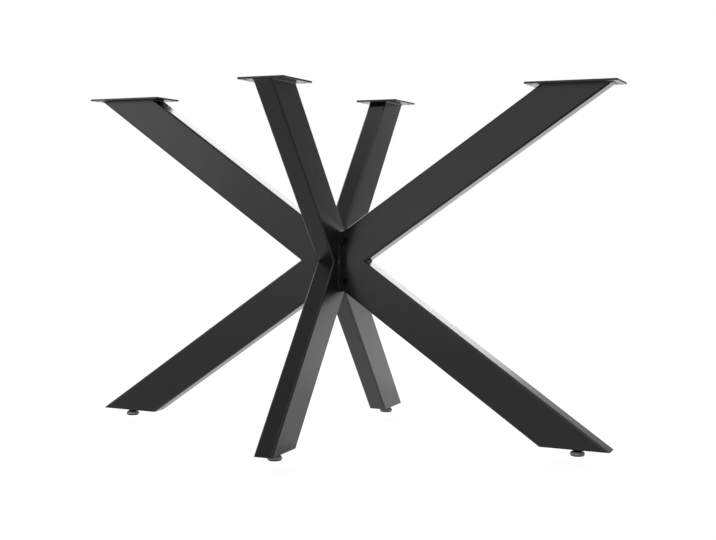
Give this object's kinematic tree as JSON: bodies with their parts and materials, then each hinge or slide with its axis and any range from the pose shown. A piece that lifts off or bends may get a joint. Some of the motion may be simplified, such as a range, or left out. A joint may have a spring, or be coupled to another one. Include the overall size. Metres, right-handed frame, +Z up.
{
  "type": "star table base",
  "caption": "Star-shaped table base of rectangular steel tube: crossing legs that meet at a bolted hub, screw plates on top for a table top and screw-out levelling feet below.",
  "frame": {"origin": "on the floor, under the centre of the hub", "axes": "+X along the long pair of legs, +Y along the short pair towards the back, +Z up"},
  "size_m": [1.1924, 0.6638, 0.7245],
  "materials": {
    "frame_coat": "satin powder coat",
    "black_fasteners": "black oxide",
    "bare_steel": "bare steel",
    "plated_steel": "black zinc plated",
    "foot_plastic": "moulded grey"
  },
  "bodies": {
    "frame": {"cross_through_tube": "frame_coat", "front_upper_tube": "frame_coat", "back_lower_tube": "frame_coat", "right_upper_tube": "frame_coat", "right_lower_tube": "frame_coat", "right_hub_flange": "frame_coat", "left_upper_tube": "frame_coat", "left_lower_tube": "frame_coat", "left_hub_flange": "frame_coat", "hub_bolts": "black_fasteners", "hub_washers": "black_fasteners", "right_screw_plate": "frame_coat", "right_end_plate": "frame_coat", "right_weld_nut": "bare_steel", "left_screw_plate": "frame_coat", "left_end_plate": "frame_coat", "left_weld_nut": "bare_steel", "front_screw_plate": "frame_coat", "front_end_plate": "frame_coat", "front_weld_nut": "bare_steel", "back_screw_plate": "frame_coat", "back_end_plate": "frame_coat", "back_weld_nut": "bare_steel"},
    "right_foot_base": {"right_foot_pad": "foot_plastic"},
    "right_foot_screw": {"right_foot_stud": "plated_steel"},
    "left_foot_base": {"left_foot_pad": "foot_plastic"},
    "left_foot_screw": {"left_foot_stud": "plated_steel"},
    "front_foot_base": {"front_foot_pad": "foot_plastic"},
    "front_foot_screw": {"front_foot_stud": "plated_steel"},
    "back_foot_base": {"back_foot_pad": "foot_plastic"},
    "back_foot_screw": {"back_foot_stud": "plated_steel"}
  },
  "joints": [
    {"name": "right_foot_height", "type": "slide", "parent": "frame", "child": "right_foot_base", "axis": [0, 0, -1], "range_m": [0, 0.015]},
    {"name": "right_foot_turn", "type": "hinge", "parent": "right_foot_base", "child": "right_foot_screw", "pos_m": [0.52, 0, 0], "axis": [0, 0, -1], "range_deg": [0, 3600]},
    {"name": "left_foot_height", "type": "slide", "parent": "frame", "child": "left_foot_base", "axis": [0, 0, -1], "range_m": [0, 0.015]},
    {"name": "left_foot_turn", "type": "hinge", "parent": "left_foot_base", "child": "left_foot_screw", "pos_m": [-0.52, 0, 0], "axis": [0, 0, -1], "range_deg": [0, 3600]},
    {"name": "front_foot_height", "type": "slide", "parent": "frame", "child": "front_foot_base", "axis": [0, 0, -1], "range_m": [0, 0.015]},
    {"name": "front_foot_turn", "type": "hinge", "parent": "front_foot_base", "child": "front_foot_screw", "pos_m": [0, -0.278, 0], "axis": [0, 0, -1], "range_deg": [0, 3600]},
    {"name": "back_foot_height", "type": "slide", "parent": "frame", "child": "back_foot_base", "axis": [0, 0, -1], "range_m": [0, 0.015]},
    {"name": "back_foot_turn", "type": "hinge", "parent": "back_foot_base", "child": "back_foot_screw", "pos_m": [0, 0.278, 0], "axis": [0, 0, -1], "range_deg": [0, 3600]}
  ],
  "couplings": [
    {"joint": "right_foot_turn", "follows": "right_foot_height", "rad_per_m": 4188.8},
    {"joint": "left_foot_turn", "follows": "left_foot_height", "rad_per_m": 4188.8},
    {"joint": "front_foot_turn", "follows": "front_foot_height", "rad_per_m": 4188.8},
    {"joint": "back_foot_turn", "follows": "back_foot_height", "rad_per_m": 4188.8}
  ]
}
